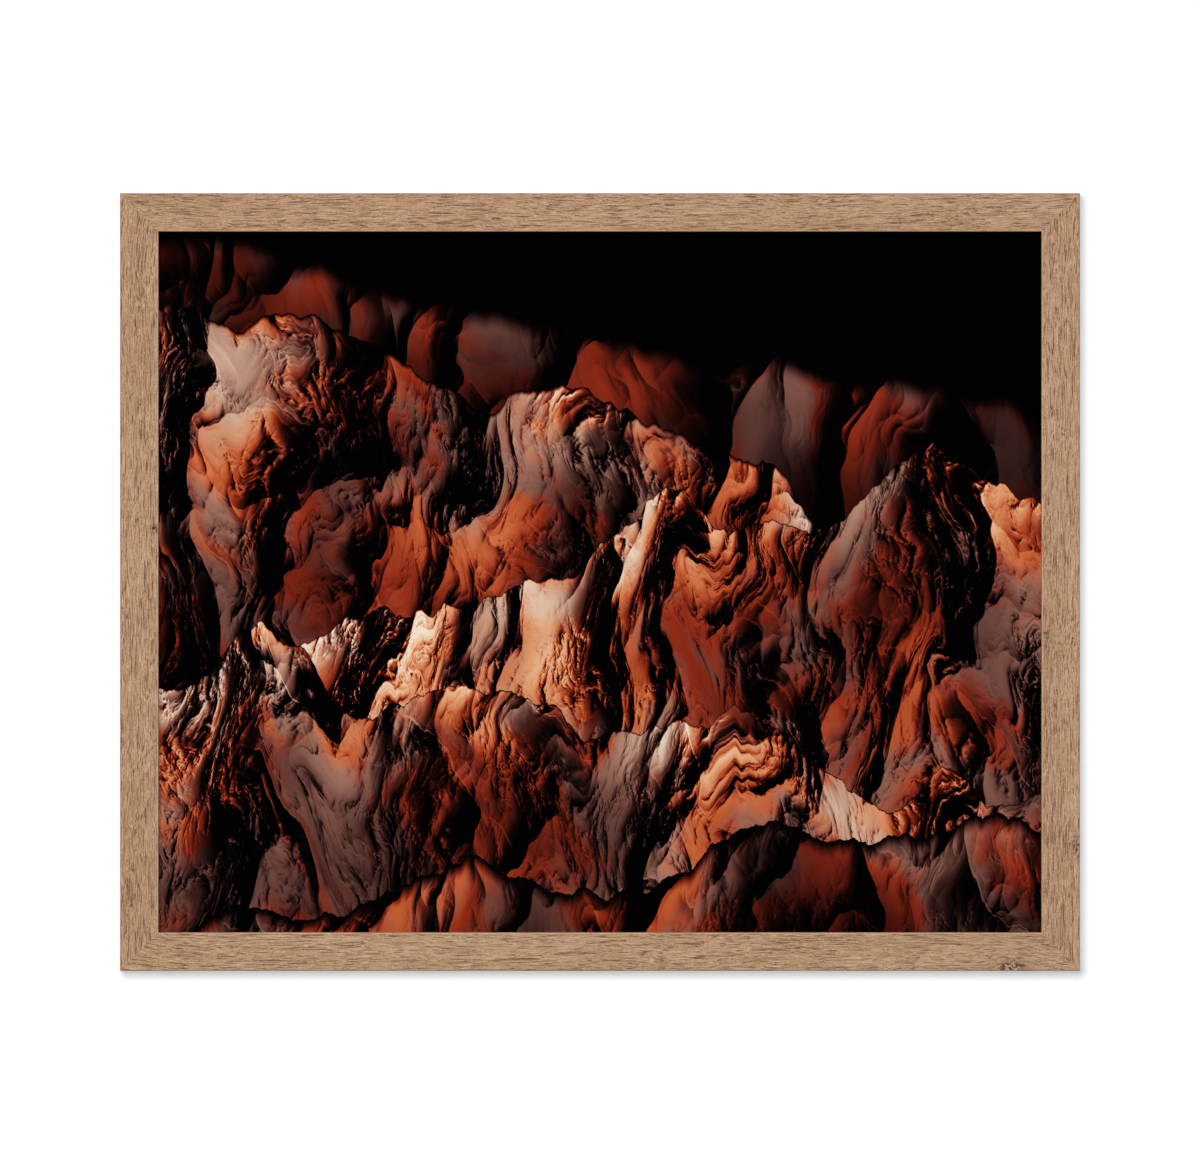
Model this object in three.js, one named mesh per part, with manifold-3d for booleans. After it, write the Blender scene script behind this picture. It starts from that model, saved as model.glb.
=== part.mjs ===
// Framed wall picture. Four mitred oak mouldings, nailed at the corners, hold glazing, a print, a
// backing card and a back panel in their rabbet. Screwed turn buttons keep these in, and a sawtooth
// hanger carries the picture.
//
// Millimetres, +Z up, the picture faces -Y. The origin is the point on the wall where it hangs:
// the root of the hanger's middle notch, on the plane y = 0 that the rubber bumpers rest against.

import * as THREE from "three";
import { mergeVertices } from "three/addons/utils/BufferGeometryUtils.js";
import Module from "manifold-3d";

const wasm = await Module();
wasm.setup();

// ---- Driving dimensions ---------------------------------------------------------------------

const PRINT_WIDTH = 500;
const PRINT_HEIGHT = 400;
const RABBET_PLAY = 1; // room between the print's edge and the rabbet's wall, on each side

const FACE_WIDTH = 21; // the moulding's flat front face, from outer edge to sight edge
const LIP_WIDTH = 8.5; // part of that face which covers the rabbet
const FRAME_DEPTH = 18;
const ARRIS_RADIUS = 0.8; // rounding of the two front edges
const BACK_CHAMFER = 0.5;
const MITRE_GAP = 0.1; // glue line between two mouldings

const GLAZING_THICKNESS = 2;
const PRINT_THICKNESS = 0.5;
const CARD_THICKNESS = 1.5;
const PANEL_THICKNESS = 3;
const LAYER_GAP = 0.2;
const PANEL_RECESS = 0.4; // how far the back panel lies under the moulding's back

const WALL_CLEARANCE = 3.2; // the bumpers' height
const SEAT_GAP = 0.1; // between a fitting and the surface that it is fixed on
const HANG_DROP = 10; // from the frame's top edge down to the hanging point

const BUTTON = { pivotRadius: 4.5, tipRadius: 3.2, reach: 17, thickness: 1.2, holeRadius: 1.6 };
const BUTTON_SCREW = { headRadius: 3.1, headHeight: 1.4, shankRadius: 1.5, length: 10 };
const BUTTON_SPREAD = 150; // from the middle of the long sides to their buttons

const HANGER = { width: 46, height: 10, thickness: 0.9, rise: 1.8, raisedWidth: 26, holeRadius: 1.5 };
const HANGER_SCREW = { headRadius: 2.4, headHeight: 1.1, shankRadius: 1.2, length: 9 };
const HANGER_SCREW_SPREAD = 18.8;
const TOOTH = { pitch: 2.5, depth: 1.6, perSide: 4 };

const MITRE_NAIL = { leg: 5.5, halfAngle: 50, thickness: 0.5, depth: 7, places: [4.5, 11] };
const MITRE_NAIL_CLEARANCE = 0.1; // places are where the V's points are, in along the mitre

const PILOT_CLEARANCE = 0.3; // from a screw's shank to the wall of its hole in the wood
const RECESS = { span: 0.62, slotWidth: 0.75, depth: 0.8 }; // cross recess; span is a share of the head
const BUMPER = { baseRadius: 5, faceRadius: 3.6, spread: 236 };

const ROUND_SEGMENTS = 24;
const CORNER_SEGMENTS = 3;
const WELD_DISTANCE = 1e-4;

// ---- Worked out from them -------------------------------------------------------------------

const rabbetWidth = PRINT_WIDTH + 2 * RABBET_PLAY;
const rabbetHeight = PRINT_HEIGHT + 2 * RABBET_PLAY;
const outerWidth = rabbetWidth + 2 * (FACE_WIDTH - LIP_WIDTH);
const outerHeight = rabbetHeight + 2 * (FACE_WIDTH - LIP_WIDTH);
const landWidth = FACE_WIDTH - LIP_WIDTH; // flat back of the moulding, behind the rabbet

const stackThickness = GLAZING_THICKNESS + PRINT_THICKNESS + CARD_THICKNESS + PANEL_THICKNESS;
const lipThickness = FRAME_DEPTH - stackThickness - 4 * LAYER_GAP - PANEL_RECESS;

const backY = -WALL_CLEARANCE;
const frontY = backY - FRAME_DEPTH;
const centreZ = HANG_DROP - outerHeight / 2;

// ---- Materials ------------------------------------------------------------------------------

const paint = (color, roughness, metalness = 0) =>
  new THREE.MeshStandardMaterial({ color, roughness, metalness });

const oak = paint(0xb08d6e, 0.6);
const acrylic = new THREE.MeshStandardMaterial({
  color: 0xf4f8f8,
  roughness: 0.05,
  metalness: 0,
  transparent: true,
  opacity: 0.12,
});
const printedPaper = paint(0x4a1f14, 0.55);
const greyCard = paint(0xb9b4a8, 0.9);
const fibreboard = paint(0x9c7350, 0.85);
const zincPlate = paint(0xb9bcc0, 0.35, 1);
const blackRubber = paint(0x17181a, 0.7);

// ---- Joining and cutting --------------------------------------------------------------------

function toSolid(geometry) {
  const bare = geometry.clone();
  bare.deleteAttribute("normal");
  bare.deleteAttribute("uv");
  const merged = mergeVertices(bare, WELD_DISTANCE);
  return new wasm.Manifold(
    new wasm.Mesh({
      numProp: 3,
      vertProperties: new Float32Array(merged.getAttribute("position").array),
      triVerts: new Uint32Array(merged.index.array),
    }),
  );
}

function toGeometry(solid) {
  const { vertProperties, triVerts } = solid.getMesh();
  const geometry = new THREE.BufferGeometry();
  geometry.setAttribute("position", new THREE.BufferAttribute(vertProperties, 3));
  geometry.setIndex(new THREE.BufferAttribute(triVerts, 1));
  geometry.computeVertexNormals();
  return geometry;
}

function cut(geometry, cutters) {
  const solid = cutters.reduce((left, cutter) => left.subtract(toSolid(cutter)), toSolid(geometry));
  return toGeometry(solid);
}

// ---- Moulding -------------------------------------------------------------------------------

// Section of the moulding: x runs in from the outer edge, y runs back from the front face.
function mouldingSection() {
  const r = ARRIS_RADIUS;
  const section = new THREE.Shape();
  section.moveTo(0, r);
  section.absarc(r, r, r, Math.PI, 1.5 * Math.PI, false);
  section.lineTo(FACE_WIDTH - r, 0);
  section.absarc(FACE_WIDTH - r, r, r, -0.5 * Math.PI, 0, false);
  section.lineTo(FACE_WIDTH, lipThickness);
  section.lineTo(landWidth, lipThickness);
  section.lineTo(landWidth, FRAME_DEPTH);
  section.lineTo(BACK_CHAMFER, FRAME_DEPTH);
  section.lineTo(0, FRAME_DEPTH - BACK_CHAMFER);
  section.closePath();
  return section;
}

// A hole for a screw, open at the moulding's back: `along` the stick, `inward` from its outer edge.
function pilotHole(screw, along, inward) {
  const depth = screw.length + PILOT_CLEARANCE;
  const overshoot = 1;
  const hole = new THREE.CylinderGeometry(
    screw.shankRadius + PILOT_CLEARANCE,
    screw.shankRadius + PILOT_CLEARANCE,
    depth + overshoot,
    ROUND_SEGMENTS,
  );
  return hole.translate(along, backY - depth / 2 + overshoot / 2, -inward);
}

// V-shaped nail driven across a mitre from the back, its point `place` in from the frame's outer
// corner. That corner is at x = z = 0, and the mitre runs in along (1, 0, -1). With a clearance,
// it is the slot that the nail fills.
function mitreNailGeometry(place, clearance) {
  const { leg, halfAngle, thickness, depth } = MITRE_NAIL;
  const angle = THREE.MathUtils.degToRad(halfAngle);
  const half = thickness / 2 + clearance;
  const point = half / Math.sin(angle);
  const inward = new THREE.Vector2(1, -1).normalize();
  const sideways = new THREE.Vector2(1, 1).normalize();
  const at = (further, side) =>
    inward.clone().multiplyScalar(place + further).addScaledVector(sideways, side);
  const legEnd = (side, face) =>
    at(
      (leg + clearance) * Math.cos(angle) - face * half * Math.sin(angle),
      side * ((leg + clearance) * Math.sin(angle) + face * half * Math.cos(angle)),
    );
  const outline = [
    at(-point, 0),
    legEnd(-1, 1),
    legEnd(-1, -1),
    at(point, 0),
    legEnd(1, -1),
    legEnd(1, 1),
  ];
  return new THREE.ExtrudeGeometry(new THREE.Shape(outline), {
    depth: depth + 2 * clearance,
    bevelEnabled: false,
  })
    .rotateX(Math.PI / 2)
    .translate(0, backY + clearance, 0);
}

// One stick as it lies on top of the frame: X along it, outer edge at z = 0, mitred at both ends.
function stickGeometry(length, holes) {
  const stick = new THREE.ExtrudeGeometry(mouldingSection(), {
    depth: 1,
    steps: 1,
    bevelEnabled: false,
    curveSegments: CORNER_SEGMENTS,
  });
  const setBack = MITRE_GAP / Math.SQRT2;
  const place = stick.getAttribute("position");
  for (let i = 0; i < place.count; i += 1) {
    const inward = place.getX(i);
    const behindFace = place.getY(i);
    const end = place.getZ(i) < 0.5 ? -1 : 1;
    place.setXYZ(i, end * (length / 2 - inward - setBack), frontY + behindFace, -inward);
  }
  const slots = MITRE_NAIL.places.flatMap((nailPlace) => {
    const slot = mitreNailGeometry(nailPlace, MITRE_NAIL_CLEARANCE);
    const otherEnd = slot.clone().rotateY(Math.PI / 2);
    return [slot.translate(-length / 2, 0, 0), otherEnd.translate(length / 2, 0, 0)];
  });
  return cut(stick, [...slots, ...holes]);
}

// ---- Fittings -------------------------------------------------------------------------------

// Pan-head screw with a cross recess. Its axis is Y, the head is on +Y and seats on y = 0.
function screwGeometry({ headRadius, headHeight, shankRadius, length }) {
  const tipLength = 2.5 * shankRadius;
  const rimHeight = 0.35 * headHeight;
  const domeHeight = headHeight - rimHeight;
  const profile = [
    new THREE.Vector2(0, -length),
    new THREE.Vector2(shankRadius, tipLength - length),
    new THREE.Vector2(shankRadius, 0),
    new THREE.Vector2(headRadius, 0),
    new THREE.Vector2(headRadius, rimHeight),
  ];
  const crown = new THREE.EllipseCurve(0, rimHeight, headRadius, domeHeight, 0, Math.PI / 2);
  profile.push(...crown.getPoints(4).slice(1, -1), new THREE.Vector2(0, headHeight));
  const arm = 2 * RECESS.span * headRadius;
  const recess = [
    new THREE.BoxGeometry(arm, 2 * RECESS.depth, RECESS.slotWidth),
    new THREE.BoxGeometry(RECESS.slotWidth, 2 * RECESS.depth, arm),
  ];
  recess.forEach((slot) => slot.translate(0, headHeight, 0));
  return cut(new THREE.LatheGeometry(profile, ROUND_SEGMENTS), recess);
}

// Turn button, a flat plate tapering from its pivot to its tip. The pivot is on the Y axis, the
// tip points to -Z, and the plate seats on y = 0.
function buttonGeometry() {
  const { pivotRadius, tipRadius, reach, thickness, holeRadius } = BUTTON;
  const taper = Math.asin((pivotRadius - tipRadius) / reach);
  const plate = new THREE.Shape();
  plate.absarc(0, 0, pivotRadius, -taper, Math.PI + taper, false);
  plate.absarc(0, -reach, tipRadius, Math.PI + taper, 2 * Math.PI - taper, false);
  plate.closePath();
  const hole = new THREE.Path();
  hole.absarc(0, 0, holeRadius, 0, 2 * Math.PI, true);
  plate.holes.push(hole);
  const geometry = new THREE.ExtrudeGeometry(plate, {
    depth: thickness,
    bevelEnabled: false,
    curveSegments: ROUND_SEGMENTS / 2,
  });
  return toGeometry(toSolid(geometry.rotateX(Math.PI / 2).translate(0, thickness, 0)));
}

// Sawtooth hanger: a steel strip whose middle stands off the wood, with notches in its lower edge.
// The root of the middle notch is at z = 0, and the strip's ends seat on y = 0.
function hangerGeometry() {
  const { width, height, thickness, rise, raisedWidth, holeRadius } = HANGER;
  const bend = thickness * Math.tan(Math.PI / 8);
  const jogFoot = raisedWidth / 2 + rise;
  const jogHead = raisedWidth / 2;
  const underside = [[width / 2, 0], [jogFoot, 0], [jogHead, rise]];
  const topside = [
    [jogHead + bend, rise + thickness],
    [jogFoot + bend, thickness],
    [width / 2, thickness],
  ];
  const mirrored = (points) => points.map(([x, y]) => [-x, y]).reverse();
  const outline = [...underside, ...mirrored(underside), ...mirrored(topside), ...topside];
  const strip = new THREE.ExtrudeGeometry(
    new THREE.Shape(outline.map(([x, y]) => new THREE.Vector2(x, y))),
    { depth: height, bevelEnabled: false },
  ).translate(0, 0, -TOOTH.depth);
  const cutters = [];
  for (let k = -TOOTH.perSide; k <= TOOTH.perSide; k += 1) {
    cutters.push(notchGeometry(k * TOOTH.pitch));
  }
  for (const side of [-1, 1]) {
    const hole = new THREE.CylinderGeometry(holeRadius, holeRadius, 4 * thickness, ROUND_SEGMENTS);
    cutters.push(hole.translate(side * HANGER_SCREW_SPREAD, 0, height / 2 - TOOTH.depth));
  }
  return cut(strip, cutters);
}

// Wedge that cuts one notch of the hanger, its root at z = 0.
function notchGeometry(x) {
  const overshoot = 0.5;
  const slope = TOOTH.pitch / 2 / TOOTH.depth;
  const mouthZ = -TOOTH.depth - overshoot;
  const wedge = new THREE.Shape([
    new THREE.Vector2(x, 0),
    new THREE.Vector2(x + slope * mouthZ, mouthZ),
    new THREE.Vector2(x - slope * mouthZ, mouthZ),
  ]);
  const depth = 2 * (HANGER.rise + HANGER.thickness);
  return new THREE.ExtrudeGeometry(wedge, { depth, bevelEnabled: false })
    .rotateX(Math.PI / 2)
    .translate(0, depth, 0);
}

// Rubber bumper: its face meets the wall at y = 0.
function bumperGeometry() {
  const foot = -(WALL_CLEARANCE - SEAT_GAP);
  const profile = [
    new THREE.Vector2(0, foot),
    new THREE.Vector2(BUMPER.baseRadius, foot),
    new THREE.Vector2(BUMPER.baseRadius, 0.45 * foot),
    new THREE.Vector2(0.94 * BUMPER.baseRadius, 0.22 * foot),
    new THREE.Vector2(BUMPER.faceRadius, 0),
    new THREE.Vector2(0, 0),
  ];
  return new THREE.LatheGeometry(profile, ROUND_SEGMENTS);
}

// ---- Assembly -------------------------------------------------------------------------------

const picture = new THREE.Group();

function addMesh(parent, name, geometry, material, position = [0, 0, 0]) {
  const mesh = new THREE.Mesh(geometry, material);
  mesh.name = name;
  mesh.position.set(...position);
  parent.add(mesh);
  return mesh;
}

// A group for each side of the frame, turned so that the side's outer edge is on top. Its origin
// is the middle of that edge.
function sideGroup(turn) {
  const upright = Math.abs(Math.sin(turn)) > 0.5;
  const reach = (upright ? outerWidth : outerHeight) / 2;
  const group = new THREE.Group();
  group.rotation.y = turn;
  group.position.set(reach * Math.sin(turn), 0, centreZ + reach * Math.cos(turn));
  picture.add(group);
  return group;
}

// Each side, with the corner at its -X end and its buttons' places once its outer edge is on top.
const SIDES = [
  {
    name: "top",
    corner: "top_left",
    turn: 0,
    length: outerWidth,
    buttons: { top_left: -BUTTON_SPREAD, top_right: BUTTON_SPREAD },
  },
  {
    name: "right",
    corner: "top_right",
    turn: Math.PI / 2,
    length: outerHeight,
    buttons: { right: 0 },
  },
  {
    name: "bottom",
    corner: "bottom_right",
    turn: Math.PI,
    length: outerWidth,
    buttons: { bottom_right: -BUTTON_SPREAD, bottom_left: BUTTON_SPREAD },
  },
  {
    name: "left",
    corner: "bottom_left",
    turn: -Math.PI / 2,
    length: outerHeight,
    buttons: { left: 0 },
  },
];

const buttonPlate = buttonGeometry();
const buttonScrew = screwGeometry(BUTTON_SCREW);
const pivotInward = landWidth / 2; // a button's pivot is on the middle of the land
const plateY = backY + SEAT_GAP;
const headY = plateY + BUTTON.thickness + SEAT_GAP;
const hangerScrewInward = HANG_DROP - (HANGER.height / 2 - TOOTH.depth);

for (const side of SIDES) {
  const group = sideGroup(side.turn);
  const pivots = Object.entries(side.buttons);
  const holes = pivots.map(([, along]) => pilotHole(BUTTON_SCREW, along, pivotInward));
  if (side.name === "top") {
    for (const along of [-HANGER_SCREW_SPREAD, HANGER_SCREW_SPREAD]) {
      holes.push(pilotHole(HANGER_SCREW, along, hangerScrewInward));
    }
  }
  addMesh(group, `stick_${side.name}`, stickGeometry(side.length, holes), oak);
  MITRE_NAIL.places.forEach((place, index) => {
    const name = `mitre_nail_${side.corner}_${index + 1}`;
    addMesh(group, name, mitreNailGeometry(place, 0), zincPlate, [-side.length / 2, 0, 0]);
  });
  for (const [label, along] of pivots) {
    addMesh(group, `button_${label}`, buttonPlate, zincPlate, [along, plateY, -pivotInward]);
    addMesh(group, `button_screw_${label}`, buttonScrew, zincPlate, [along, headY, -pivotInward]);
  }
}

// The stack in the rabbet, from the glazing behind the lip to the panel at the back.
const LAYERS = [
  { name: "glazing", thickness: GLAZING_THICKNESS, material: acrylic },
  { name: "print", thickness: PRINT_THICKNESS, material: printedPaper },
  { name: "backing_card", thickness: CARD_THICKNESS, material: greyCard },
  { name: "back_panel", thickness: PANEL_THICKNESS, material: fibreboard },
];
let layerFront = frontY + lipThickness;
for (const { name, thickness, material } of LAYERS) {
  layerFront += LAYER_GAP;
  const sheet = new THREE.BoxGeometry(PRINT_WIDTH, thickness, PRINT_HEIGHT);
  addMesh(picture, name, sheet, material, [0, layerFront + thickness / 2, centreZ]);
  layerFront += thickness;
}

addMesh(picture, "hanger", hangerGeometry(), zincPlate, [0, backY + SEAT_GAP, 0]);
const hangerScrew = screwGeometry(HANGER_SCREW);
const hangerHeadY = backY + HANGER.thickness + 2 * SEAT_GAP;
const bumper = bumperGeometry();
for (const [name, side] of [["left", -1], ["right", 1]]) {
  addMesh(picture, `hanger_screw_${name}`, hangerScrew, zincPlate, [
    side * HANGER_SCREW_SPREAD,
    hangerHeadY,
    HANG_DROP - hangerScrewInward,
  ]);
  addMesh(picture, `bumper_${name}`, bumper, blackRubber, [
    side * BUMPER.spread,
    0,
    centreZ - outerHeight / 2 + landWidth / 2,
  ]);
}

export default picture;
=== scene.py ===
import math

import bpy
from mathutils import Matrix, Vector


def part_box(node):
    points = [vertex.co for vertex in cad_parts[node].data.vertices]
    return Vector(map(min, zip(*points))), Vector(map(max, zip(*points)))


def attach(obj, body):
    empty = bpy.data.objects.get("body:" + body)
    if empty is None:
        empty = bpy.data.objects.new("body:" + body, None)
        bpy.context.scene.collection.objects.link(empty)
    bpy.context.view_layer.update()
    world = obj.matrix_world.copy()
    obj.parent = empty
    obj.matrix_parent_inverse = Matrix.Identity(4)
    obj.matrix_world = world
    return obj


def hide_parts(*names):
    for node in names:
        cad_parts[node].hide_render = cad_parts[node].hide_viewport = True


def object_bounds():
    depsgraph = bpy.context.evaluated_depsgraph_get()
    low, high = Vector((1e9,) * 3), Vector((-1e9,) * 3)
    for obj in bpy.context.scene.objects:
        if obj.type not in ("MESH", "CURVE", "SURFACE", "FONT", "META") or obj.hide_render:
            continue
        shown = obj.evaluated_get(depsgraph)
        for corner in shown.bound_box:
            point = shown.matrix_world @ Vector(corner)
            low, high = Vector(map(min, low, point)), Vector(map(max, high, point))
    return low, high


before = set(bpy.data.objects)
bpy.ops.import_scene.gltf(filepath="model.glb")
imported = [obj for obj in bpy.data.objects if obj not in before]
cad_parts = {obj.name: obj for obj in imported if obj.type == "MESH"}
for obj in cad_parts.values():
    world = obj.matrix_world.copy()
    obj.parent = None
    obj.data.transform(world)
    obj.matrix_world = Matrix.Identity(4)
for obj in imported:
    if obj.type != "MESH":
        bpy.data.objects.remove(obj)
cad_low, cad_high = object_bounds()


# ---- Oak frame ------------------------------------------------------------------------------
# Four lengths of flat oak moulding, 21 mm wide and 18 mm deep, sawn to 45 degrees and glued. The
# wood is oiled, and satin to the touch. Its grain runs along each stick, bends a little towards
# the mitres, and has open brown pores and a few small knots.

def add_node(tree, kind, inputs=(), **settings):
    """Adds a shader node. Its inputs are numbers, colours or other nodes' output sockets."""
    made = tree.nodes.new("ShaderNode" + kind)
    for name, value in settings.items():
        setattr(made, name, value)
    for key, value in dict(inputs).items():
        if isinstance(value, bpy.types.NodeSocket):
            tree.links.new(value, made.inputs[key])
        else:
            made.inputs[key].default_value = value
    return made


def calc(tree, operation, *terms, clamp=False):
    """One step of arithmetic on sockets and numbers."""
    made = add_node(tree, "Math", enumerate(terms), operation=operation, use_clamp=clamp)
    return made.outputs[0]


def calc_vector(tree, operation, *terms):
    """One step of arithmetic on vectors. A dot product gives a number."""
    made = add_node(tree, "VectorMath", enumerate(terms), operation=operation)
    return made.outputs["Value" if operation == "DOT_PRODUCT" else "Vector"]


def split(tree, vector):
    """The three numbers of a vector."""
    return add_node(tree, "SeparateXYZ", {0: vector}).outputs


def join(tree, *numbers):
    """The vector of three numbers."""
    return add_node(tree, "CombineXYZ", enumerate(numbers)).outputs[0]


def step_up(tree, value, low, high, bottom=0.0, top=1.0):
    """Goes smoothly from bottom to top while the value goes from low to high."""
    given = {0: value, 1: low, 2: high, 3: bottom, 4: top}
    return add_node(tree, "MapRange", given, interpolation_type="SMOOTHSTEP").outputs[0]


def noise(tree, at, stretch, detail=2.0, roughness=0.5):
    """Soft noise whose blobs are about half as long as stretch along each axis."""
    place = calc_vector(tree, "MULTIPLY", at, tuple(1 / length for length in stretch))
    given = {"Vector": place, "Scale": 1.0, "Detail": detail, "Roughness": roughness}
    return add_node(tree, "TexNoise", given).outputs[0]


def screen(red, green, blue):
    """A colour as a screen shows it, 0 to 255, turned to the linear numbers of a shader."""
    shares = (c / 255 for c in (red, green, blue))
    return tuple(c / 12.92 if c <= 0.04045 else ((c + 0.055) / 1.055) ** 2.4 for c in shares)


def ramp(tree, value, stops):
    """A colour for each value: stops are pairs of place and colour."""
    made = add_node(tree, "ValToRGB", {0: value})
    points = made.color_ramp.elements
    while len(points) < len(stops):
        points.new(0.5)
    for point, (place, colour) in zip(points, stops):
        point.position = place
        point.color = (*colour, 1)
    return made.outputs[0]


def blend_colour(tree, share, first, second, way="MIX"):
    """The first colour with a share of the second laid over it."""
    colours = [c if isinstance(c, bpy.types.NodeSocket) else (*c, 1) for c in (first, second)]
    given = {0: share, 6: colours[0], 7: colours[1]}
    return add_node(tree, "Mix", given, data_type="RGBA", blend_type=way).outputs[2]


def new_group(name, inputs, outputs):
    """A node group. Returns its tree, the sockets it is given and the sockets it gives."""
    tree = bpy.data.node_groups.new(name, "ShaderNodeTree")
    for label, kind in inputs:
        tree.interface.new_socket(label, in_out="INPUT", socket_type="NodeSocket" + kind)
    for label, kind in outputs:
        tree.interface.new_socket(label, in_out="OUTPUT", socket_type="NodeSocket" + kind)
    return tree, tree.nodes.new("NodeGroupInput").outputs, tree.nodes.new("NodeGroupOutput").inputs


def use_group(tree, group, given):
    """Puts a node group into a tree and returns its outputs."""
    return add_node(tree, "Group", given, node_tree=group).outputs


def new_material(name):
    """A material with an empty tree. Returns it, its tree and the object's own coordinates."""
    material = bpy.data.materials.new(name)
    material.use_nodes = True
    tree = material.node_tree
    tree.nodes.clear()
    return material, tree, add_node(tree, "TexCoord").outputs["Object"]


def finish_material(tree, colour, roughness, height, relief, gloss=0.5, metal=0.0):
    """Ends a tree in one Principled shader. Height from 0 to 1 stands for relief, in metres."""
    bump = add_node(tree, "Bump", {"Height": height, "Distance": relief, "Strength": 1.0})
    shader = add_node(tree, "BsdfPrincipled", {
        "Base Color": colour, "Roughness": roughness, "Normal": bump.outputs[0],
        "Specular IOR Level": gloss, "Metallic": metal,
    })
    add_node(tree, "OutputMaterial", {"Surface": shader.outputs[0]})


def put_on(node, material):
    """Gives a CAD node its finish."""
    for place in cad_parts[node].material_slots:
        place.material = material


# A knot pushes the grain lines around it apart, and its middle is dark and speckled.
KNOT_LENGTH = 1.7  # along the grain, as a share of its width
KNOT_PUSH = 0.8  # how far a grain line moves, as a share of its distance from the middle
KNOT_CORE, KNOT_RIM = 1.1, 0.16  # how dark the speckles are, and the wood between them
knot, given, out = new_group(
    "oak_knot",
    [("Place", "Vector"), ("Middle", "Vector"), ("Radius", "Float"), ("Dark", "Float")],
    [("Place", "Vector"), ("Dark", "Float")],
)
part = split(knot, calc_vector(knot, "SUBTRACT", given["Place"], given["Middle"]))
along = calc(knot, "DIVIDE", part[0], calc(knot, "MULTIPLY", given["Radius"], KNOT_LENGTH))
across = calc(knot, "DIVIDE", part[2], given["Radius"])
spread = calc(knot, "MULTIPLY_ADD", along, along, calc(knot, "MULTIPLY", across, across))
near = calc(knot, "EXPONENT", calc(knot, "MULTIPLY", spread, -1.0))
push = calc(knot, "MULTIPLY", calc(knot, "MULTIPLY", part[2], near), -KNOT_PUSH)
moved = calc_vector(knot, "ADD", given["Place"], join(knot, 0.0, 0.0, push))
speckle = noise(knot, given["Place"], (1.9, 1.5, 1.5), 4.0, 0.65)
core = calc(knot, "MULTIPLY", near, step_up(knot, speckle, 0.47, 0.56))
knot.links.new(moved, out["Place"])
dark = calc(knot, "MULTIPLY_ADD", core, KNOT_CORE, calc(knot, "MULTIPLY", near, KNOT_RIM))
knot.links.new(calc(knot, "ADD", dark, given["Dark"], clamp=True), out["Dark"])

# The figure of the wood, for a place in millimetres: along the stick, into it, and across it.
SWAY, WOBBLE = 8.0, 1.6  # how far the grain strays in long waves and in short ones, in mm
PLAIN_TONE, FLECK_TONE = 0.525, 0.25  # 0 is the darkest wood and 1 the palest; flecks add to it
PORE_DARK, KNOT_DARK = 0.88, 0.95  # how much the brown of a pore or knot covers
figure, given, out = new_group(
    "oak_figure", [("Place", "Vector"), ("Dark", "Float")],
    [("Colour", "Color"), ("Roughness", "Float"), ("Height", "Float")],
)
sway = calc(figure, "SUBTRACT", noise(figure, given["Place"], (75, 30, 26), 1.0), 0.5)
wobble = calc(figure, "SUBTRACT", noise(figure, given["Place"], (16, 7, 6), 1.0), 0.5)
shift = calc(figure, "MULTIPLY_ADD", sway, SWAY, calc(figure, "MULTIPLY", wobble, WOBBLE))
place = calc_vector(figure, "ADD", given["Place"], join(figure, 0.0, shift, shift))
fibre = noise(figure, place, (8, 0.36, 0.36), 0.0)
fuzz = noise(figure, place, (1.2, 0.36, 0.36), 2.0)
growth = noise(figure, place, (36, 2.0, 2.0), 2.0, 0.5)
board = noise(figure, place, (220, 14, 14), 1.0)
fleck = step_up(figure, noise(figure, place, (9, 0.5, 0.5), 0.0), 0.60, 0.66)
long_pores = step_up(figure, noise(figure, place, (22, 0.45, 0.45), 0.0), 0.67, 0.69)
short_pores = step_up(figure, noise(figure, place, (9, 0.42, 0.42), 0.0), 0.67, 0.69)
splits = step_up(figure, noise(figure, place, (24, 0.62, 0.62), 0.0), 0.71, 0.74)
clusters = step_up(figure, noise(figure, place, (26, 4, 4), 2.0), 0.40, 0.60, 0.8, 1.0)
pores = calc(figure, "MULTIPLY_ADD", short_pores, 0.9, long_pores, clamp=True)
pores = calc(figure, "MAXIMUM", calc(figure, "MULTIPLY", pores, clusters), splits)
threads = step_up(figure, noise(figure, place, (5, 0.2, 0.2), 1.0), 0.40, 0.56, 0.35, 1.0)
pores = calc(figure, "MULTIPLY", pores, threads)
tone = calc(figure, "MULTIPLY_ADD", fleck, FLECK_TONE, PLAIN_TONE)
for part, amount in ((fibre, 0.66), (fuzz, 1.5), (growth, 0.05), (board, 0.36)):
    tone = calc(figure, "MULTIPLY_ADD", calc(figure, "SUBTRACT", part, 0.5), amount, tone)
wood = ramp(figure, tone, [
    (0.05, screen(142, 103, 74)), (0.36, screen(175, 136, 105)), (0.60, screen(189, 152, 121)),
    (0.95, screen(212, 177, 148)),
])
# Here and there the wood is a shade darker and yellower.
yellower = step_up(figure, noise(figure, place, (30, 5, 5), 2.0), 0.42, 0.58)
wood = blend_colour(figure, yellower, wood, (0.96, 0.965, 0.945), "MULTIPLY")
open_pore = calc(figure, "MULTIPLY", pores, PORE_DARK)
wood = blend_colour(figure, open_pore, wood, screen(94, 52, 34))
dark_knot = calc(figure, "MULTIPLY", given["Dark"], KNOT_DARK)
wood = blend_colour(figure, dark_knot, wood, screen(50, 38, 38))
figure.links.new(wood, out["Colour"])
rough = calc(figure, "MULTIPLY_ADD", pores, 0.22, calc(figure, "MULTIPLY_ADD", fibre, -0.16, 0.66))
figure.links.new(rough, out["Roughness"])
depth = calc(figure, "MULTIPLY_ADD", fibre, 0.3, calc(figure, "MULTIPLY_ADD", pores, -0.7, 0.7))
figure.links.new(depth, out["Height"])

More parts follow.
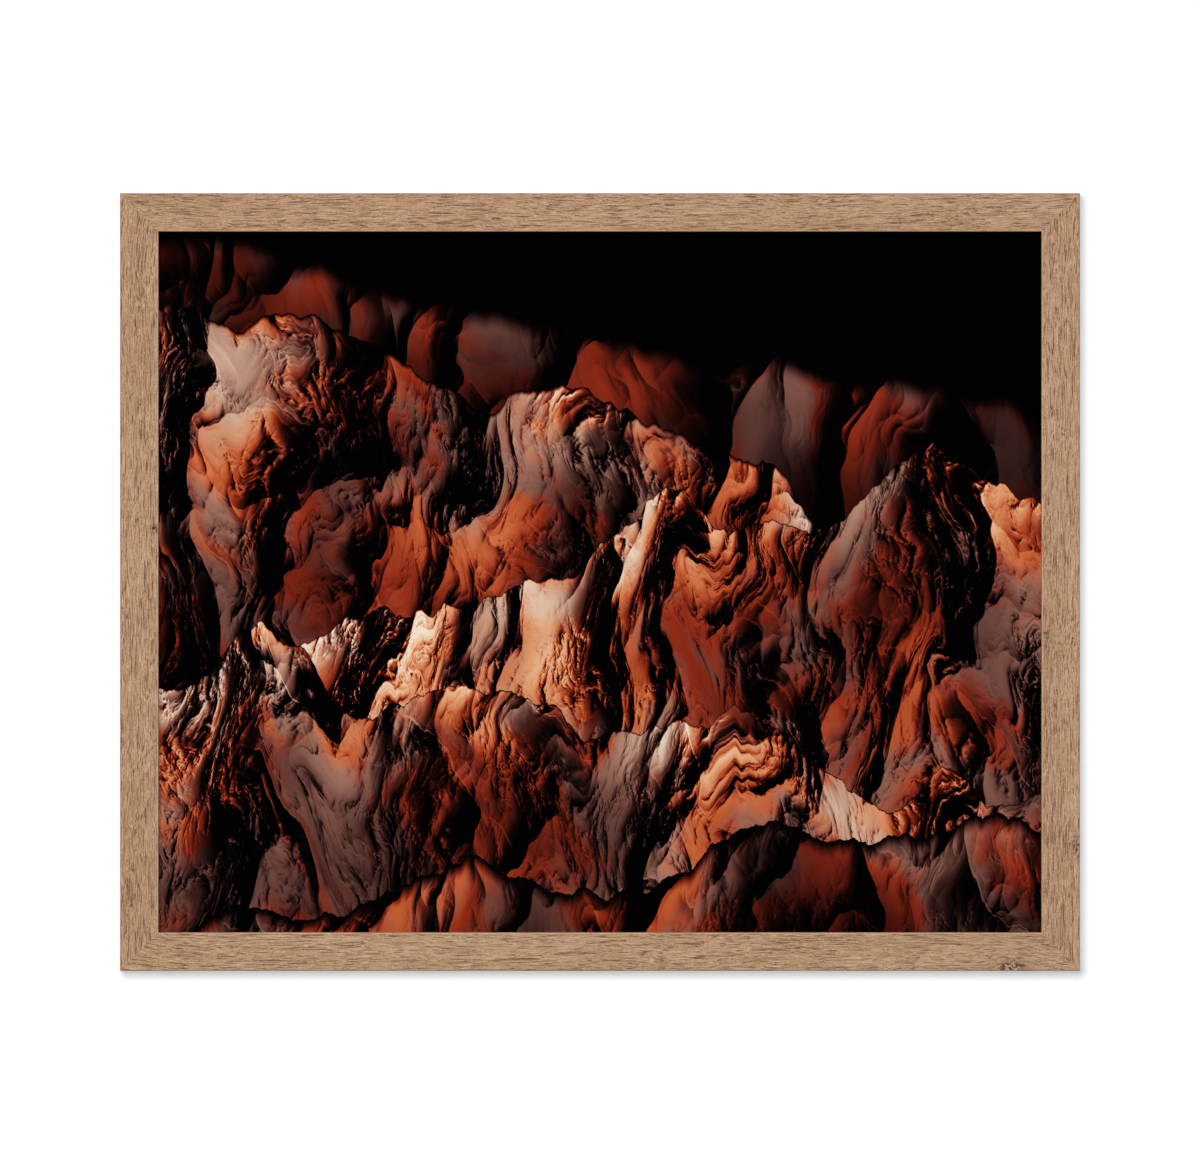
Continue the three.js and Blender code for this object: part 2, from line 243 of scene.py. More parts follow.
MM_PER_METRE = 1000
PORE_DEPTH = 0.00009  # in metres
EDGE, FRONT = 10.5, -9  # from a stick's middle line to its two edges, and to its front, in mm
# How wide the painted shade along the outer edge is:
SHADED_EDGE_WIDTH = 1.1  # in mm
MITRE_REACH = 26  # how far from the mitre the grain still bends, in mm
# Each stick: its middle in mm, whether it stands upright, its length, how much the grain bends
# at its two ends, its outer edge's side, where its board begins, and its knots, as the place
# along it, across it, and the radius.
STICKS = {
    "stick_top": ((0, -12.2, -0.5), False, 527, (-0.12, -0.16), 1, 0, []),
    "stick_bottom": (
        (0, -12.2, -406.5), False, 527, (-0.20, 0.14), -1, 700,
        [(225, -9.2, 4.7), (257.6, -4.2, 1.3)],
    ),
    "stick_left": ((-253, -12.2, -203.5), True, 427, (0.05, 0.16), 1, 1860, [(28.6, -8.4, 1.9)]),
    "stick_right": (
        (253, -12.2, -203.5), True, 427, (-0.06, 0.05), -1, 2260,
        [(-144.5, -9.2, 3.4), (-28.5, 8.2, 1.7)],
    ),
}
for name, (middle, upright, length, bends, outside, board_start, knots) in STICKS.items():
    oak, tree, place = new_material("oiled_oak_" + name)
    turn = (0, math.pi / 2, 0) if upright else (0, 0, 0)
    centre = (-middle[2], -middle[1], middle[0]) if upright else [-c for c in middle]
    place = add_node(tree, "Mapping", {
        "Vector": place, "Location": centre, "Rotation": turn, "Scale": (MM_PER_METRE,) * 3,
    }).outputs[0]
    part = split(tree, place)
    bend = 0.0
    for end, amount in zip((-1, 1), bends):
        reach = calc(tree, "MULTIPLY_ADD", part[0], end / MITRE_REACH, -length / 2 / MITRE_REACH)
        near = calc(tree, "EXPONENT", reach)
        bend = calc(tree, "MULTIPLY_ADD", near, amount * MITRE_REACH, bend)
    dark = 0.0
    for along, across, radius in knots:
        place, dark = use_group(tree, knot, {
            "Place": place, "Middle": (along, 0, across), "Radius": radius, "Dark": dark,
        })
    place = calc_vector(tree, "ADD", place, join(tree, board_start, 0.0, bend))
    colour, rough, height = use_group(tree, figure, {"Place": place, "Dark": dark})
    # Painted shade darkens the outer edge, and a painted highlight makes the front's inner edge
    # pale.
    outwards = calc(tree, "MULTIPLY", part[2], outside)
    painted_edge_shade = step_up(tree, outwards, EDGE - SHADED_EDGE_WIDTH, EDGE, 0.0, 0.5)
    colour = blend_colour(tree, painted_edge_shade, colour, screen(150, 106, 74))
    # The painted highlight lies only along the front's inner edge.
    painted_edge_highlight = step_up(tree, outwards, -EDGE + 0.2, -EDGE + 1.0, 0.4, 0.0)
    at_front = step_up(tree, part[1], FRONT + 0.6, FRONT + 1.4, 1.0, 0.0)
    painted_edge_highlight = calc(tree, "MULTIPLY", painted_edge_highlight, at_front)
    colour = blend_colour(tree, painted_edge_highlight, colour, screen(240, 200, 160))
    finish_material(tree, colour, rough, height, PORE_DEPTH, gloss=0.3)
    put_on(name, oak)


# ---- Mitre glue -----------------------------------------------------------------------------
# Wood glue fills the mitres as films a tenth of a millimetre thick. It is full of oak dust from
# the saw, is scraped off flush with the faces, and holds the four sticks together.

glue, tree, place = new_material("mitre_glue")
dust = noise(tree, place, (0.0015, 0.0015, 0.0015), 3.0, 0.6)
colour = ramp(tree, dust, [(0.3, screen(150, 112, 84)), (0.7, screen(184, 146, 114))])
rough = step_up(tree, dust, 0.3, 0.7, 0.5, 0.65)
finish_material(tree, colour, rough, dust, relief=0.000004)

FILM_THICKNESS = 0.00009
FACE_INSET = 0.00002  # from the moulding's front and back to the film
END_INSET = 0.00006  # from the moulding's outer and inner corners to the film
CORNER_CUT = 0.0012  # keeps the film's corners under the moulding's round edges
LAND_WIDTH = 0.0125  # the moulding's back, beside the rabbet
RABBET_PLAY = 0.0002  # in front of the glazing
CUTTER_SIZE = (0.04, 0.04, 0.002)  # a block that reaches past the film on every side
low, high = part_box("stick_top")
mitre_length = (high.z - low.z) * math.sqrt(2)
bpy.ops.object.select_all(action="DESELECT")
bpy.ops.mesh.primitive_plane_add(size=1, location=(-mitre_length / 2, (low.y + high.y) / 2, 0))
film = bpy.context.object
film.scale = (mitre_length - 2 * END_INSET, high.y - low.y - 2 * FACE_INSET, 1)
bpy.ops.object.transform_apply(location=True, rotation=True, scale=True)
bpy.ops.object.mode_set(mode="EDIT")
bpy.ops.mesh.select_all(action="SELECT")
bpy.ops.mesh.bevel(offset=CORNER_CUT, segments=4, affect="VERTICES")
bpy.ops.object.mode_set(mode="OBJECT")
thick = film.modifiers.new("thickness", "SOLIDIFY")
thick.thickness, thick.offset = FILM_THICKNESS, 0
bpy.ops.object.modifier_apply(modifier="thickness")
# The rabbet takes a corner out of the film.
rabbet_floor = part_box("glazing")[0].y - RABBET_PLAY
rabbet_wall = END_INSET - LAND_WIDTH * math.sqrt(2)
bpy.ops.mesh.primitive_cube_add(
    size=1, location=(rabbet_wall - CUTTER_SIZE[0] / 2, rabbet_floor + CUTTER_SIZE[1] / 2, 0),
)
rabbet = bpy.context.object
rabbet.scale = CUTTER_SIZE
bpy.ops.object.transform_apply(location=True, rotation=True, scale=True)
bpy.ops.object.select_all(action="DESELECT")
film.select_set(True)
bpy.context.view_layer.objects.active = film
notch = film.modifiers.new("rabbet", "BOOLEAN")
notch.object, notch.operation, notch.solver = rabbet, "DIFFERENCE", "EXACT"
bpy.ops.object.modifier_apply(modifier="rabbet")
film.data.materials.clear()
film.data.materials.append(glue)
left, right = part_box("stick_left")[0].x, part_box("stick_right")[1].x
top, bottom = high.z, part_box("stick_bottom")[0].z
for corner, x, z, turn in (
    ("top_right", right, top, -45), ("bottom_right", right, bottom, 45),
    ("bottom_left", left, bottom, 135), ("top_left", left, top, -135),
):
    piece = bpy.data.objects.new("mitre_glue_" + corner, film.data.copy())
    bpy.context.scene.collection.objects.link(piece)
    piece.location, piece.rotation_euler = (x, 0, z), (0, math.radians(turn), 0)
    bpy.ops.object.select_all(action="DESELECT")
    piece.select_set(True)
    bpy.context.view_layer.objects.active = piece
    bpy.ops.object.transform_apply(location=True, rotation=True, scale=True)
    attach(piece, "frame")
bpy.data.objects.remove(rabbet)
bpy.data.objects.remove(film)


# ---- Mitre nails ----------------------------------------------------------------------------
# Bent strips of spring steel, two to a corner, pressed into the back of the glued mitres until
# they are flush. They are bright from the press, with a little blue left from hardening.

steel, tree, place = new_material("spring_steel")
temper = noise(tree, place, (0.004, 0.004, 0.004), 3.0)
scratch = noise(tree, place, (0.0022, 0.0022, 0.00012), 2.0)
colour = ramp(tree, temper, [
    (0.35, screen(118, 120, 128)), (0.52, screen(168, 170, 174)), (0.70, screen(186, 182, 172)),
])
rough = step_up(tree, scratch, 0.3, 0.7, 0.28, 0.46)
finish_material(tree, colour, rough, scratch, relief=0.00001, metal=1.0)
for corner in ("top_left", "top_right", "bottom_right", "bottom_left"):
    for number in (1, 2):
        put_on(f"mitre_nail_{corner}_{number}", steel)


# ---- Glazing --------------------------------------------------------------------------------
# A 2 mm sheet of clear acrylic with a coating against reflections, laid into the rabbet. It lets
# nearly all light through, and shows a faint gloss only from the side.

COATED_IOR = 1.22  # how strongly the coated face mirrors, well below bare acrylic's 1.49
acrylic, tree, place = new_material("clear_acrylic")
smear = noise(tree, place, (0.09, 0.09, 0.03), 3.0, 0.6)
gloss = add_node(tree, "BsdfGlossy", {
    "Color": (1, 1, 1, 1), "Roughness": step_up(tree, smear, 0.35, 0.65, 0.03, 0.07),
})
clear = add_node(tree, "BsdfTransparent", {"Color": (0.985, 0.99, 0.99, 1)})
# Only the outer side of each face shines, because light goes straight through and isn't bent.
outer_side = calc(tree, "SUBTRACT", 1.0, add_node(tree, "NewGeometry").outputs["Backfacing"])
mirror = add_node(tree, "Fresnel", {"IOR": COATED_IOR}).outputs[0]
shine = calc(tree, "MULTIPLY", mirror, outer_side)
sheet = add_node(tree, "MixShader", {0: shine, 1: clear.outputs[0], 2: gloss.outputs[0]})
add_node(tree, "OutputMaterial", {"Surface": sheet.outputs[0]})
put_on("glazing", acrylic)
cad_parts["glazing"].visible_shadow = False


# ---- Print ----------------------------------------------------------------------------------
# A sheet of heavy coated paper, trimmed square, that lies a little uneven between glazing and
# card. It is printed to its edges with a picture of worn red hills at night, lit low from the
# right.

PAPER_THICKNESS = 0.0005
COCKLE = 0.00012  # from the lowest to the highest place of the sheet
low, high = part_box("print")
bpy.ops.object.select_all(action="DESELECT")
bpy.ops.mesh.primitive_grid_add(
    x_subdivisions=50, y_subdivisions=40, size=1,
    location=((low.x + high.x) / 2, low.y, (low.z + high.z) / 2), rotation=(math.pi / 2, 0, 0),
)
sheet = bpy.context.object
sheet.name = "print_sheet"
sheet.scale = (high.x - low.x, high.z - low.z, 1)
bpy.ops.object.transform_apply(location=True, rotation=True, scale=True)
uneven = bpy.data.textures.new("paper_cockle", "CLOUDS")
uneven.noise_scale = 0.12
cockle = sheet.modifiers.new("cockle", "DISPLACE")
cockle.texture, cockle.texture_coords = uneven, "LOCAL"
cockle.direction, cockle.strength = "Y", COCKLE
bpy.ops.object.modifier_apply(modifier="cockle")
thick = sheet.modifiers.new("thickness", "SOLIDIFY")
thick.thickness, thick.offset = PAPER_THICKNESS, -1
bpy.ops.object.modifier_apply(modifier="thickness")
bpy.ops.object.shade_smooth_by_angle(angle=math.radians(30))
# The printed face takes nearly the whole map, and the blank faces share a strip below it.
STRIP = 0.02  # the strip's height
STRIP_FILL = 0.8  # how much of it the blank faces take, so that none touches the print
chart = sheet.data.uv_layers[0]
chart.name = "OFBake"
for face in sheet.data.polygons:
    printed = face.normal.y < -0.9
    for corner in face.loop_indices:
        point = sheet.data.vertices[sheet.data.loops[corner].vertex_index].co
        over = (point.x - low.x) / (high.x - low.x)
        up = (point.z - low.z) / (high.z - low.z)
        deep = (point.y - low.y) / PAPER_THICKNESS
        strip = (up + deep) / 2 * STRIP * STRIP_FILL
        chart.data[corner].uv = (over, STRIP + up * (1 - STRIP)) if printed else (over, strip)

# The relief of a hillside: spurs and gullies that run down it, and fine rills on them.
SPUR_HEIGHT, RILL_HEIGHT = 0.42, 0.034
relief, given, out = new_group(
    "hill_relief", [("Place", "Vector"), ("Rills", "Float")], [("Height", "Float")],
)


def ridged(tree, at, squeeze, detail, roughness, offset, gain):
    """Noise with sharp crests."""
    given = {
        "Vector": calc_vector(tree, "MULTIPLY", at, squeeze), "Scale": 1.0, "Detail": detail,
        "Roughness": roughness, "Lacunarity": 2.15, "Offset": offset, "Gain": gain,
    }
    kind = {"noise_type": "RIDGED_MULTIFRACTAL", "noise_dimensions": "2D", "normalize": True}
    return add_node(tree, "TexNoise", given, **kind).outputs[0]


def flat_noise(tree, at, scale, detail, roughness):
    """Soft noise on the picture's plane. Its outputs are a number and a colour."""
    given = {"Vector": at, "Scale": scale, "Detail": detail, "Roughness": roughness}
    return add_node(tree, "TexNoise", given, noise_dimensions="2D").outputs


spurs = ridged(relief, given["Place"], (1.25, 0.7, 1), 3.0, 0.45, 0.95, 1.2)
rills = ridged(relief, given["Place"], (5.6, 2.6, 1), 5.0, 0.6, 0.9, 1.6)
fine = calc(relief, "MULTIPLY", rills, calc(relief, "MULTIPLY", given["Rills"], RILL_HEIGHT))
relief.links.new(calc(relief, "MULTIPLY_ADD", spurs, SPUR_HEIGHT, fine), out["Height"])

picture, tree, place = new_material("printed_picture")
middle = (low + high) / 2
PICTURE_UNITS = 10  # one unit of the picture is 100 mm
place = add_node(tree, "Mapping", {
    "Vector": place, "Location": (0, 0, -middle.z * PICTURE_UNITS),
    "Scale": (PICTURE_UNITS,) * 3,
}).outputs[0]
part = split(tree, place)
# The hills from the farthest to the nearest: the crest's height, slope, rise and breadth, where
# its noise starts, how strong its rills are, how far down its light falls, how strong that light
# is, and how soft its crest is.
HILLS = [
    (1.40, -0.20, 0.38, 1.3, 3.1, 0.15, 1.3, 0.40, 0.12),
    (0.92, -0.28, 0.75, 1.6, 11.7, 0.8, 1.8, 1.0, 0.03),
    (0.10, 0.26, 0.65, 1.2, 24.3, 1.0, 1.7, 1.2, 0.012),
    (-0.80, -0.18, 0.60, 1.1, 37.9, 1.0, 1.4, 1.05, 0.012),
    (-1.60, 0.12, 0.45, 0.9, 52.4, 0.4, 0.9, 0.6, 0.10),
]
lie = light = (0, 0, 0)
for crest, slope, rise, breadth, start, rill, fall, strength, softness in HILLS:
    line = calc(tree, "MULTIPLY_ADD", part[0], 1 / breadth, start)
    given = {"W": line, "Scale": 1.0, "Detail": 6.0, "Roughness": 0.5}
    profile = add_node(tree, "TexNoise", given, noise_dimensions="1D").outputs[0]
    base = calc(tree, "MULTIPLY_ADD", part[0], slope, crest - rise)
    down = calc(tree, "SUBTRACT", calc(tree, "MULTIPLY_ADD", profile, 2 * rise, base), part[2])
    covers = calc(tree, "GREATER_THAN", down, 0.0)
    here = join(tree, down, start, rill)
    past_crest, fallen = calc(tree, "DIVIDE", down, softness), calc(tree, "DIVIDE", down, fall)
    lit = join(tree, past_crest, fallen, strength)
    lie = add_node(tree, "Mix", {0: covers, 4: lie, 5: here}, data_type="VECTOR").outputs[1]
    light = add_node(tree, "Mix", {0: covers, 4: light, 5: lit}, data_type="VECTOR").outputs[1]
lie = split(tree, lie)
light = split(tree, light)
spot = join(tree, calc(tree, "ADD", part[0], lie[1]), lie[0], 0.0)
# Soft noise bends the spurs, more sideways than downhill.
bend = flat_noise(tree, spot, 1.1, 2.0, 0.5)["Color"]
bend = calc_vector(tree, "SUBTRACT", bend, (0.5, 0.5, 0.5))
bend = calc_vector(tree, "MULTIPLY_ADD", bend, (0.62, 0.34, 0), spot)
# The relief's height at three spots a step apart gives its slope, and so how the light falls.
STEP = 0.007
FLATNESS = 0.95  # a lower number makes every slope steeper
TO_LIGHT = (0.78, 0.52, 0.35)  # to the right, down the hill, and out of the picture
LIGHT_GAIN, LIGHT_BASE, CONTRAST = 0.70, 0.27, 1.3
heights = []
for step in ((0, 0, 0), (STEP, 0, 0), (0, STEP, 0)):
    at = calc_vector(tree, "ADD", bend, step)
    heights += use_group(tree, relief, {"Place": at, "Rills": lie[2]})
slopes = [calc(tree, "DIVIDE", calc(tree, "SUBTRACT", heights[0], h), STEP) for h in heights[1:]]
faces = calc_vector(tree, "NORMALIZE", join(tree, *slopes, FLATNESS))
lit = calc_vector(tree, "DOT_PRODUCT", faces, TO_LIGHT)
lit = calc(tree, "MULTIPLY_ADD", lit, LIGHT_GAIN, LIGHT_BASE, clamp=True)
lit = calc(tree, "POWER", lit, CONTRAST)
fade = calc(tree, "EXPONENT", calc(tree, "MULTIPLY", light[1], -1.0))
patches = step_up(tree, flat_noise(tree, spot, 0.8, 2.0, 0.45)[0], 0.34, 0.66, 0.42, 1.05)
crest_edge = step_up(tree, light[0], 0.0, 1.0)
most = calc(tree, "MULTIPLY", patches, calc(tree, "MULTIPLY", light[2], crest_edge))
glow = calc(tree, "MULTIPLY", calc(tree, "MULTIPLY", lit, fade), most)
# Each rock's colours from black night to the brightest light, at the same seven steps of glow.
GLOW_STEPS = (0.0, 0.05, 0.16, 0.32, 0.52, 0.75, 1.0)
RED_ROCK = (
    (0, 0, 0), (26, 6, 4), (82, 22, 13), (150, 46, 24), (200, 96, 52), (228, 160, 112),
    (248, 228, 204),
)
DUSTY_ROCK = (
    (0, 0, 0), (22, 10, 9), (66, 37, 33), (116, 74, 64), (164, 116, 98), (208, 168, 144),
    (240, 228, 214),
)
red_rock, dusty_rock = [
    ramp(tree, glow, [(step, screen(*colour)) for step, colour in zip(GLOW_STEPS, colours)])
    for colours in (RED_ROCK, DUSTY_ROCK)
]
dust = step_up(tree, flat_noise(tree, bend, 1.3, 4.0, 0.6)[0], 0.44, 0.62)
ink = blend_colour(tree, dust, red_rock, dusty_rock)
# Only the front is printed. The cut edges and the back are bare paper.
front = split(tree, add_node(tree, "NewGeometry").outputs["Normal"])[1]
front = calc(tree, "LESS_THAN", front, -0.5)
grain = noise(tree, place, (0.012, 0.012, 0.012), 2.0)
paper = ramp(tree, grain, [(0.3, screen(222, 220, 214)), (0.7, screen(240, 239, 235))])
colour = blend_colour(tree, front, paper, ink)
rough = step_up(tree, grain, 0.3, 0.7, 0.42, 0.52)
finish_material(tree, colour, rough, grain, relief=0.000003, gloss=0.06)
sheet.data.materials.append(picture)
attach(sheet, "frame")
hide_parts("print")


# ---- Backing card ---------------------------------------------------------------------------
# Grey board of pressed waste paper, 1.5 mm thick, cut to the print's size. It keeps the print
# flat, and has short fibres and flecks of old ink in it.

def fibres(tree, at, length, width, turns, low_end, high_end):
    """Short thin strands that lie in several directions, from 0 to 1."""
    found = 0.0
    for turn in turns:
        given = {"Vector": at, "Rotation": (0, turn, 0), "Location": (turn, turn * 3, turn * 7)}
        laid = add_node(tree, "Mapping", given).outputs[0]
        strand = step_up(tree, noise(tree, laid, (length, width, width), 1.0), low_end, high_end)
        found = calc(tree, "MAXIMUM", found, strand)
    return found


card, tree, place = new_material("grey_board")
pulp = noise(tree, place, (0.006, 0.006, 0.006), 4.0, 0.6)
pale = fibres(tree, place, 0.006, 0.0006, (0.3, 1.2, 2.2), 0.60, 0.70)
specks = step_up(tree, noise(tree, place, (0.0011, 0.0011, 0.0011), 1.0), 0.66, 0.72)
colour = ramp(tree, pulp, [(0.3, screen(172, 168, 158)), (0.7, screen(192, 188, 178))])
colour = blend_colour(tree, calc(tree, "MULTIPLY", pale, 0.5), colour, screen(214, 210, 200))
colour = blend_colour(tree, calc(tree, "MULTIPLY", specks, 0.7), colour, screen(92, 92, 96))
rough = step_up(tree, pulp, 0.3, 0.7, 0.85, 0.95)
finish_material(tree, colour, rough, pale, relief=0.00004, gloss=0.2)
put_on("backing_card", card)


# ---- Back panel -----------------------------------------------------------------------------
# A 3 mm board of pressed wood fibre, sawn to the size of the print, that closes the back. Its
# skin is smooth, hard and tea brown, with pale and dark fibres in it.

panel, tree, place = new_material("fibre_board")
clouds = noise(tree, place, (0.05, 0.05, 0.05), 3.0)
flour = noise(tree, place, (0.0016, 0.0016, 0.0016), 4.0, 0.65)
pale = fibres(tree, place, 0.0034, 0.00026, (0.2, 0.9, 1.7, 2.6), 0.60, 0.72)
brown = fibres(tree, place, 0.0026, 0.00032, (0.6, 1.4, 2.9), 0.62, 0.74)
tone = calc(tree, "MULTIPLY_ADD", clouds, 0.35, 0.325)
tone = calc(tree, "MULTIPLY_ADD", calc(tree, "SUBTRACT", flour, 0.5), 1.1, tone)
colour = ramp(tree, tone, [
    (0.25, screen(140, 104, 74)), (0.5, screen(158, 120, 86)), (0.75, screen(174, 136, 100)),
])
colour = blend_colour(tree, calc(tree, "MULTIPLY", pale, 0.42), colour, screen(198, 164, 124))
colour = blend_colour(tree, calc(tree, "MULTIPLY", brown, 0.5), colour, screen(98, 66, 44))
rough = step_up(tree, flour, 0.3, 0.7, 0.62, 0.8)
height = calc(tree, "MAXIMUM", pale, flour)
finish_material(tree, colour, rough, height, relief=0.00003, gloss=0.35)
put_on("back_panel", panel)


# ---- Turn buttons ---------------------------------------------------------------------------
# Stamped steel buttons, 1.2 mm thick and zinc plated, that swing over the panel and hold it in.
# The press leaves their edges round. Each turns on a cross-recess screw in the moulding's back.

def dress(node, name, body, edge, material):
    """A copy of a CAD node with its edges rounded, which takes the node's place."""
    bpy.ops.object.select_all(action="DESELECT")
    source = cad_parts[node]
    piece = bpy.data.objects.new(name, source.data.copy())
    bpy.context.scene.collection.objects.link(piece)
    piece.select_set(True)
    bpy.context.view_layer.objects.active = piece
    bpy.ops.object.mode_set(mode="EDIT")
    bpy.ops.mesh.select_all(action="SELECT")
    bpy.ops.mesh.remove_doubles(threshold=0.000002)
    bpy.ops.mesh.dissolve_limited(angle_limit=math.radians(1))
    bpy.ops.object.mode_set(mode="OBJECT")
    round_off = piece.modifiers.new("edge", "BEVEL")
    round_off.width, round_off.segments = edge, 3
    round_off.limit_method, round_off.angle_limit = "ANGLE", math.radians(35)
    bpy.ops.object.modifier_apply(modifier="edge")
    bpy.ops.object.shade_smooth_by_angle(angle=math.radians(40))
    piece.data.materials.clear()
    piece.data.materials.append(material)
    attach(piece, body)
    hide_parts(node)


def plating(name, dull):
    """Zinc plate: faint cloudy patches, a fine grain, and small scratches from the barrel."""
    zinc, tree, place = new_material(name)
    patches = noise(tree, place, (0.007, 0.007, 0.007), 4.0, 0.6)
    grain = noise(tree, place, (0.0006, 0.0006, 0.0006), 3.0, 0.6)
    lines = fibres(tree, place, 0.009, 0.00016, (0.4, 1.9), 0.63, 0.70)
    colour = ramp(tree, patches, [
        (0.3, screen(178, 182, 188)), (0.5, screen(202, 205, 209)), (0.7, screen(214, 213, 208)),
    ])
    colour = blend_colour(tree, calc(tree, "MULTIPLY", lines, 0.35), colour, screen(232, 233, 235))
    rough = calc(tree, "MULTIPLY_ADD", grain, 0.16, dull)
    rough = calc(tree, "MULTIPLY_ADD", patches, 0.14, rough)
    height = calc(tree, "ADD", grain, lines)
    finish_material(tree, colour, rough, height, relief=0.000008, metal=1.0)
    return zinc


BUTTON_EDGE, SCREW_EDGE = 0.00025, 0.00012  # how far in their edges are rounded
stamped_zinc = plating("stamped_zinc", dull=0.20)
screw_zinc = plating("screw_zinc", dull=0.14)
for where in ("top_left", "top_right", "right", "bottom_right", "bottom_left", "left"):
    button, screw = f"button_{where}", f"button_screw_{where}"
    dress(button, f"turn_button_{where}", button, BUTTON_EDGE, stamped_zinc)
    dress(screw, f"turn_screw_{where}", "frame", SCREW_EDGE, screw_zinc)


# ---- Hanger ---------------------------------------------------------------------------------
# A sawtooth hanger, pressed from 0.9 mm zinc-plated steel. Its middle stands off the wood, so that
# the wall's nail goes in behind the teeth. Two screws hold its ends.

HANGER_EDGE, FIXING_EDGE = 0.00016, 0.0001
dress("hanger", "sawtooth_hanger", "frame", HANGER_EDGE, stamped_zinc)
for side in ("left", "right"):
    screw, fixing = f"hanger_screw_{side}", f"hanger_fixing_{side}"
    dress(screw, fixing, "frame", FIXING_EDGE, screw_zinc)


# ---- Bumpers --------------------------------------------------------------------------------
# Moulded rubber feet, stuck to the lower corners of the back. They keep the frame parallel to the
# wall, and are matt, with a moulded skin and a little dust.

FOOT_EDGE = 0.0005
rubber, tree, place = new_material("moulded_rubber")
skin = noise(tree, place, (0.0009, 0.0009, 0.0009), 3.0, 0.6)
dust = step_up(tree, noise(tree, place, (0.004, 0.004, 0.004), 4.0, 0.7), 0.5, 0.75)
colour = ramp(tree, skin, [(0.3, screen(24, 25, 27)), (0.7, screen(36, 36, 38))])
colour = blend_colour(tree, calc(tree, "MULTIPLY", dust, 0.22), colour, screen(120, 116, 110))
rough = calc(tree, "MULTIPLY_ADD", dust, 0.15, 0.68)
finish_material(tree, colour, rough, skin, relief=0.00003, gloss=0.4)
for side in ("left", "right"):
    dress(f"bumper_{side}", f"rubber_foot_{side}", "frame", FOOT_EDGE, rubber)


# ---- Wall, floor and lights -----------------------------------------------------------------
# The picture hangs on a white wall above a pale floor, in white surroundings. A large round lamp
# lights it softly from in front, a little to the left and above, and a weaker one lights its back.

def one_sided(name, colour, glow):
    """Paint that is seen only from the front, so that the wall never hides the picture's back."""
    paint = bpy.data.materials.new(name)
    paint.use_nodes = True
    tree = paint.node_tree
    tree.nodes.clear()
    matt = add_node(tree, "BsdfDiffuse", {"Color": (*colour, 1)}).outputs[0]
    shine = add_node(tree, "Emission", {"Color": (*glow, 1), "Strength": 1.0}).outputs[0]
    front = add_node(tree, "AddShader", {0: matt, 1: shine}).outputs[0]
    back = add_node(tree, "BsdfTransparent").outputs[0]
    behind = add_node(tree, "NewGeometry").outputs["Backfacing"]
    both = add_node(tree, "MixShader", {0: behind, 1: front, 2: back}).outputs[0]
    add_node(tree, "OutputMaterial", {"Surface": both})
    return paint


ROOM_WIDTH, ROOM_DEPTH, ROOM_HEIGHT = 2.6, 2.6, 2.7
WALL_GAP = 0.0002  # between the bumpers' faces and the wall's paint
wall_paint = one_sided("wall_paint", (0.8, 0.8, 0.8), (0.283, 0.322, 0.348))
floor_paint = one_sided("floor_paint", (0.8, 0.79, 0.77), (0.42, 0.42, 0.42))
for name, where, turned, length, paint in (
    ("wall", (0, WALL_GAP, 0), (math.pi / 2, 0, 0), ROOM_HEIGHT, wall_paint),
    ("floor", (0, -ROOM_DEPTH / 2, -ROOM_HEIGHT / 2), (0, 0, 0), ROOM_DEPTH, floor_paint),
):
    bpy.ops.object.select_all(action="DESELECT")
    bpy.ops.mesh.primitive_plane_add(size=1, location=where, rotation=turned)
    plane = bpy.context.object
    plane.name, plane.scale = name, (ROOM_WIDTH, length, 1)
    bpy.ops.object.transform_apply(location=True, rotation=True, scale=True)
    plane.data.materials.append(paint)
    for ray in ("diffuse", "glossy", "transmission", "shadow"):
        setattr(plane, "visible_" + ray, False)

MIDDLE = (cad_low + cad_high) / 2


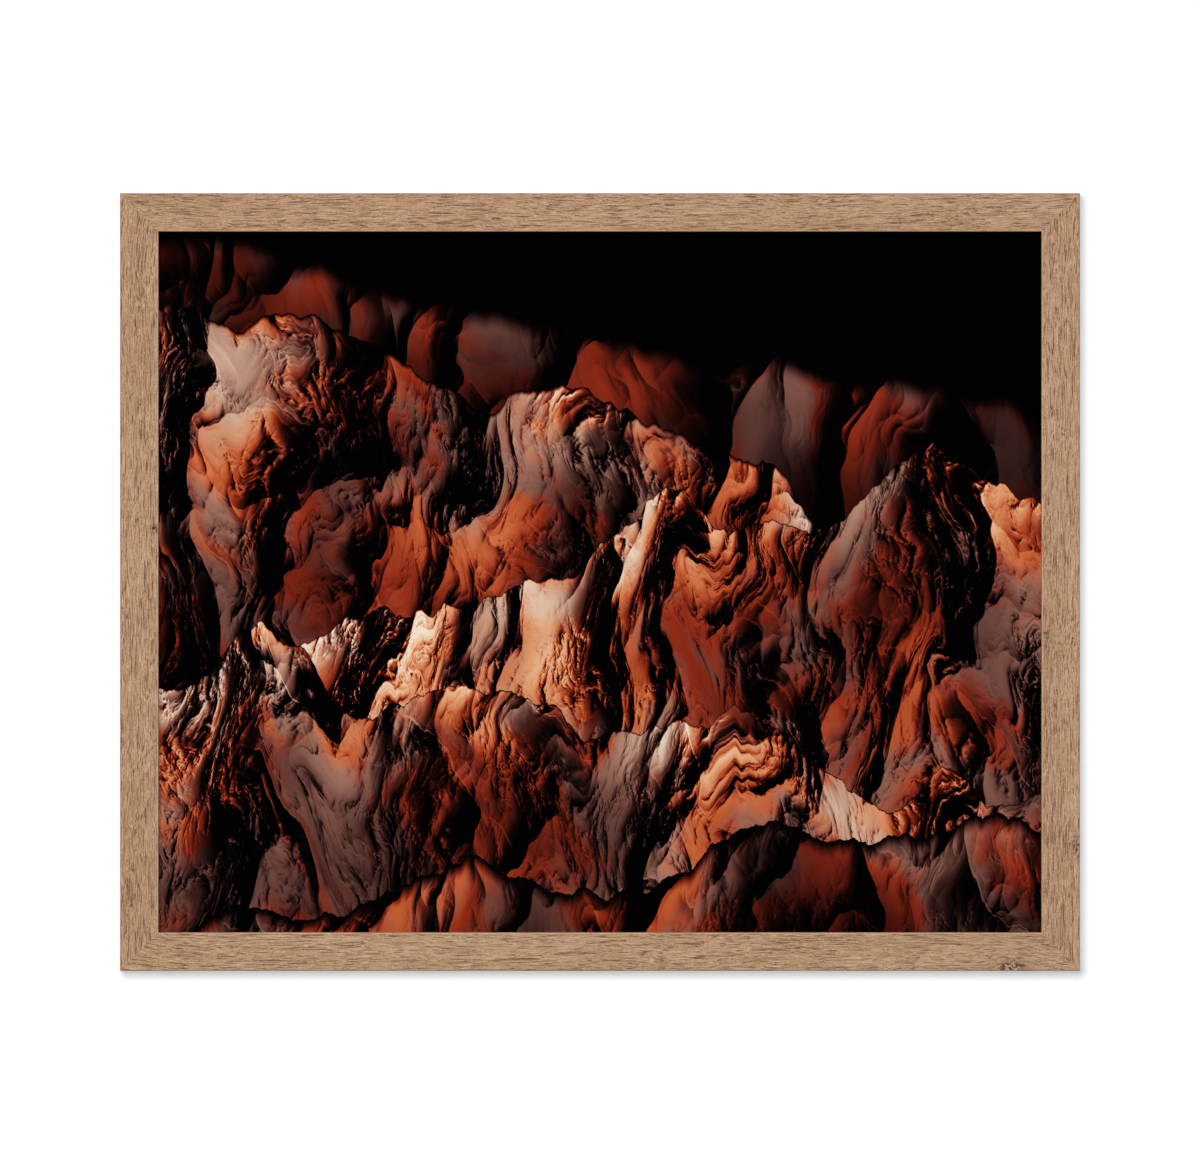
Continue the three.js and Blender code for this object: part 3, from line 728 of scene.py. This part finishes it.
def lamp(name, left, up, distance, across, power, seen_in_gloss, behind=False):
    """A round soft lamp that faces the picture, so many degrees to its left and above it."""
    data = bpy.data.lights.new(name, "AREA")
    data.shape, data.size, data.energy = "DISK", across, power
    made = bpy.data.objects.new(name, data)
    bpy.context.scene.collection.objects.link(made)
    left, up = math.radians(left), math.radians(up)
    out = 1 if behind else -1
    way = (-math.sin(left) * math.cos(up), out * math.cos(left) * math.cos(up), math.sin(up))
    made.location = [m + w * distance for m, w in zip(MIDDLE, way)]
    made.rotation_euler = (MIDDLE - made.location).to_track_quat("-Z", "Y").to_euler()
    made.visible_camera = False
    made.visible_glossy = seen_in_gloss


lamp("key", left=5, up=7, distance=4.2, across=1.5, power=144, seen_in_gloss=False)
lamp(
    "back_light", left=30, up=40, distance=3.2, across=1.4, power=32, seen_in_gloss=True,
    behind=True,
)

world = bpy.data.worlds.new("white_room")
bpy.context.scene.world = world
world.use_nodes = True
tree = world.node_tree
tree.nodes.clear()
part = split(tree, add_node(tree, "TexCoord").outputs["Generated"])
# The room is dim in front of the picture, brighter at its sides and behind it, and brighter
# overhead than below. It is black right in front, so that the glazing mirrors nothing there.
light = step_up(tree, part[1], -0.4, 0.0, 0.17, 0.75)
light = calc(tree, "ADD", light, step_up(tree, part[1], 0.0, 0.25, 0.0, 0.3))
light = calc(tree, "MULTIPLY", light, step_up(tree, part[2], -0.7, 0.8, 0.75, 1.25))
light = calc(tree, "MULTIPLY", light, step_up(tree, part[1], -0.985, -0.965))
seen = add_node(tree, "LightPath").outputs["Is Camera Ray"]
strength = add_node(tree, "Mix", {0: seen, 2: light, 3: 1.0}).outputs[0]
sky = add_node(tree, "Background", {"Color": (1, 1, 1, 1), "Strength": strength}).outputs[0]
add_node(tree, "OutputWorld", {"Surface": sky})


# ---- Camera ---------------------------------------------------------------------------------
# A long lens straight in front of the middle of the picture. It stands so far away that the
# frame's sides don't show.

LENS, SENSOR_WIDTH = 400, 36  # both in mm
CAMERA_DISTANCE = 7.32  # from the front of the frame
camera_data = bpy.data.cameras.new("camera")
camera_data.lens, camera_data.sensor_width = LENS, SENSOR_WIDTH
camera = bpy.data.objects.new("camera", camera_data)
bpy.context.scene.collection.objects.link(camera)
camera.location = (MIDDLE.x, cad_low.y - CAMERA_DISTANCE, MIDDLE.z)
camera.rotation_euler = (math.pi / 2, 0, 0)
bpy.context.scene.camera = camera
bpy.context.scene.view_settings.view_transform = "Standard"
